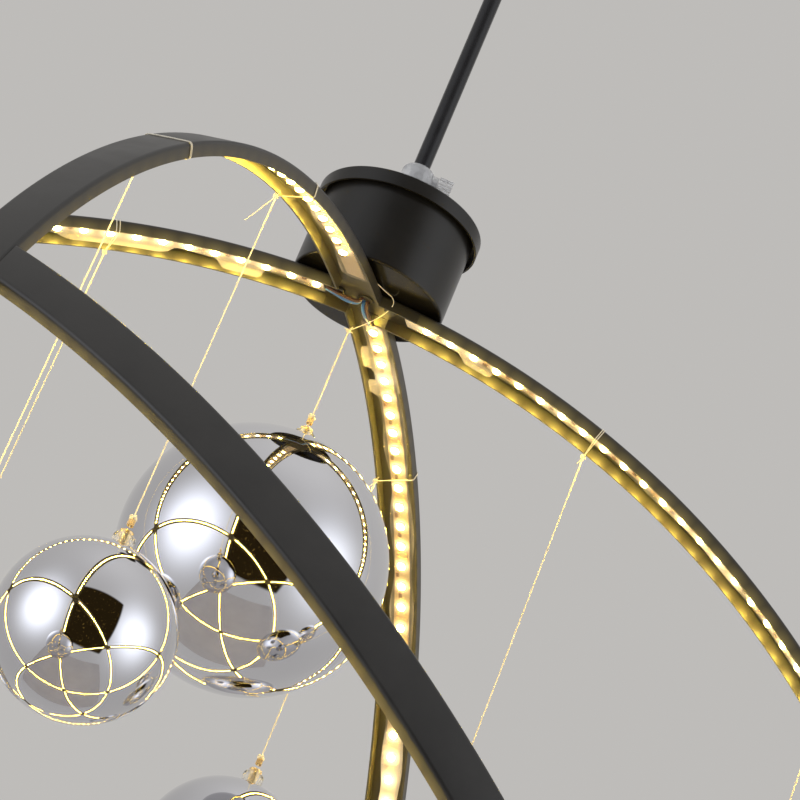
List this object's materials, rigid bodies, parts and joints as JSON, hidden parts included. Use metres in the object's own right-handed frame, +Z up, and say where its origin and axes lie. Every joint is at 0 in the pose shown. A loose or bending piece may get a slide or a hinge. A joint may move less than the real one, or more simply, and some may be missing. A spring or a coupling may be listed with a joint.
{
  "type": "orb chandelier",
  "caption": "Orb pendant light: open LED channel rings cross as a sphere under a round housing on a cord, with mirrored glass balls hung inside on clear lines.",
  "frame": {"origin": "middle of the ceiling screw pattern, in the plane of the ceiling, above the centre of the orb", "axes": "+Z up towards the ceiling; +X in the plane of the main upright ring, along the ceiling bracket; +Y away from the picture's viewer"},
  "size_m": [0.9998, 0.978, 1.361],
  "materials": {
    "black_paint": "satin black powder coat",
    "ring_paint": "satin black outside, gold-lit inside",
    "zinc_steel": "zinc plated",
    "dark_steel": "blackened",
    "black_plastic": "moulded",
    "white_plastic": "moulded",
    "clear_plastic": "clear moulded",
    "black_rubber": "matt",
    "foam_pad": "soft foam",
    "cord_sheath": "smooth black sheath",
    "blue_sheath": "insulated wire",
    "brown_sheath": "insulated wire",
    "led_tape": "white tape with warm chips",
    "clear_silicone": "clear sleeve",
    "mirror_glass": "smoke mirror coating",
    "gold_plug": "gold plated",
    "nylon_line": "clear nylon"
  },
  "bodies": {
    "ceiling": {"ceiling_bracket": "zinc_steel", "canopy": "black_paint", "canopy_knobs": "black_plastic", "cord_gland": "black_plastic", "gland_nut": "black_plastic", "terminal_block": "white_plastic"},
    "cord_top": {"strain_relief": "black_rubber", "cord_end": "cord_sheath"},
    "orb": {"power_cord": "cord_sheath", "cord_grip": "clear_plastic", "grip_nut": "clear_plastic", "housing_lid": "black_paint", "lid_screws": "dark_steel", "housing_cup": "black_paint", "led_driver": "white_plastic", "driver_pads": "foam_pad", "hub_screws": "dark_steel", "hub_nuts": "zinc_steel", "wire_grommet": "black_rubber", "blue_wires": "blue_sheath", "brown_wires": "brown_sheath", "line_loops": "nylon_line", "ring_main": "ring_paint", "led_tape_main": "led_tape", "led_sleeve_main": "clear_silicone", "ring_cross": "ring_paint", "led_tape_cross": "led_tape", "led_sleeve_cross": "clear_silicone", "ring_left_leaning": "ring_paint", "led_tape_left_leaning": "led_tape", "led_sleeve_left_leaning": "clear_silicone", "ring_right_leaning": "ring_paint", "led_tape_right_leaning": "led_tape", "led_sleeve_right_leaning": "clear_silicone"},
    "thumbscrew": {"grip_thumbscrew": "clear_plastic"},
    "line_1": {"ball_line_1": "nylon_line"},
    "ball_1": {"glass_ball_1": "mirror_glass", "ball_plug_1": "gold_plug"},
    "line_2": {"ball_line_2": "nylon_line"},
    "ball_2": {"glass_ball_2": "mirror_glass", "ball_plug_2": "gold_plug"},
    "line_3": {"ball_line_3": "nylon_line"},
    "ball_3": {"glass_ball_3": "mirror_glass", "ball_plug_3": "gold_plug"},
    "line_4": {"ball_line_4": "nylon_line"},
    "ball_4": {"glass_ball_4": "mirror_glass", "ball_plug_4": "gold_plug"},
    "line_5": {"ball_line_5": "nylon_line"},
    "ball_5": {"glass_ball_5": "mirror_glass", "ball_plug_5": "gold_plug"},
    "line_6": {"ball_line_6": "nylon_line"},
    "ball_6": {"glass_ball_6": "mirror_glass", "ball_plug_6": "gold_plug"},
    "line_7": {"ball_line_7": "nylon_line"},
    "ball_7": {"glass_ball_7": "mirror_glass", "ball_plug_7": "gold_plug"},
    "line_8": {"ball_line_8": "nylon_line"},
    "ball_8": {"glass_ball_8": "mirror_glass", "ball_plug_8": "gold_plug"}
  },
  "joints": [
    {"name": "orb_twist", "type": "hinge", "parent": "ceiling", "child": "cord_top", "pos_m": [0, 0, -0.062], "axis": [0, 0, 1], "range_deg": [-180, 180]},
    {"name": "orb_swing", "type": "hinge", "parent": "cord_top", "child": "orb", "pos_m": [0, 0, -0.062], "axis": [1, 0, 0], "range_deg": [-10, 10]},
    {"name": "thumbscrew_turn", "type": "hinge", "parent": "orb", "child": "thumbscrew", "pos_m": [0.0125, 0, -0.275], "axis": [1, 0, 0], "range_deg": [0, 330]},
    {"name": "ball_1_swing", "type": "hinge", "parent": "orb", "child": "line_1", "pos_m": [-0.1305, -0.28396, -0.48314], "axis": [0.3827, 0.9239, 0], "range_deg": [-7, 7]},
    {"name": "ball_1_spin", "type": "hinge", "parent": "line_1", "child": "ball_1", "pos_m": [-0.1305, -0.28396, -0.76194], "axis": [0, 0, 1], "continuous": true},
    {"name": "ball_2_swing", "type": "hinge", "parent": "orb", "child": "line_2", "pos_m": [-0.14877, 0.0119, -0.39392], "axis": [1, 0, 0], "range_deg": [-7, 7]},
    {"name": "ball_2_spin", "type": "hinge", "parent": "line_2", "child": "ball_2", "pos_m": [-0.14877, 0.0119, -0.63372], "axis": [0, 0, 1], "continuous": true},
    {"name": "ball_3_swing", "type": "hinge", "parent": "orb", "child": "line_3", "pos_m": [-0.06667, -0.12986, -0.39289], "axis": [0.3827, 0.9239, 0], "range_deg": [-7, 7]},
    {"name": "ball_3_spin", "type": "hinge", "parent": "line_3", "child": "ball_3", "pos_m": [-0.06667, -0.12986, -0.60969], "axis": [0, 0, 1], "continuous": true},
    {"name": "ball_4_swing", "type": "hinge", "parent": "orb", "child": "line_4", "pos_m": [-0.0018, 0.02676, -0.37139], "axis": [0.3827, 0.9239, 0], "range_deg": [-7, 7]},
    {"name": "ball_4_spin", "type": "hinge", "parent": "line_4", "child": "ball_4", "pos_m": [-0.0018, 0.02676, -0.44019], "axis": [0, 0, 1], "continuous": true},
    {"name": "ball_5_swing", "type": "hinge", "parent": "orb", "child": "line_5", "pos_m": [0.15122, 0.0119, -0.39471], "axis": [1, 0, 0], "range_deg": [-7, 7]},
    {"name": "ball_5_spin", "type": "hinge", "parent": "line_5", "child": "ball_5", "pos_m": [0.15122, 0.0119, -0.65351], "axis": [0, 0, 1], "continuous": true},
    {"name": "ball_6_swing", "type": "hinge", "parent": "orb", "child": "line_6", "pos_m": [0.04875, 0.14878, -0.39632], "axis": [0.3827, 0.9239, 0], "range_deg": [-7, 7]},
    {"name": "ball_6_spin", "type": "hinge", "parent": "line_6", "child": "ball_6", "pos_m": [0.04875, 0.14878, -0.59812], "axis": [0, 0, 1], "continuous": true},
    {"name": "ball_7_swing", "type": "hinge", "parent": "orb", "child": "line_7", "pos_m": [0.32921, 0.0119, -0.49779], "axis": [1, 0, 0], "range_deg": [-7, 7]},
    {"name": "ball_7_spin", "type": "hinge", "parent": "line_7", "child": "ball_7", "pos_m": [0.32921, 0.0119, -0.68759], "axis": [0, 0, 1], "continuous": true},
    {"name": "ball_8_swing", "type": "hinge", "parent": "orb", "child": "line_8", "pos_m": [0.13737, 0.36274, -0.56102], "axis": [0.3827, 0.9239, 0], "range_deg": [-7, 7]},
    {"name": "ball_8_spin", "type": "hinge", "parent": "line_8", "child": "ball_8", "pos_m": [0.13737, 0.36274, -0.72982], "axis": [0, 0, 1], "continuous": true}
  ]
}
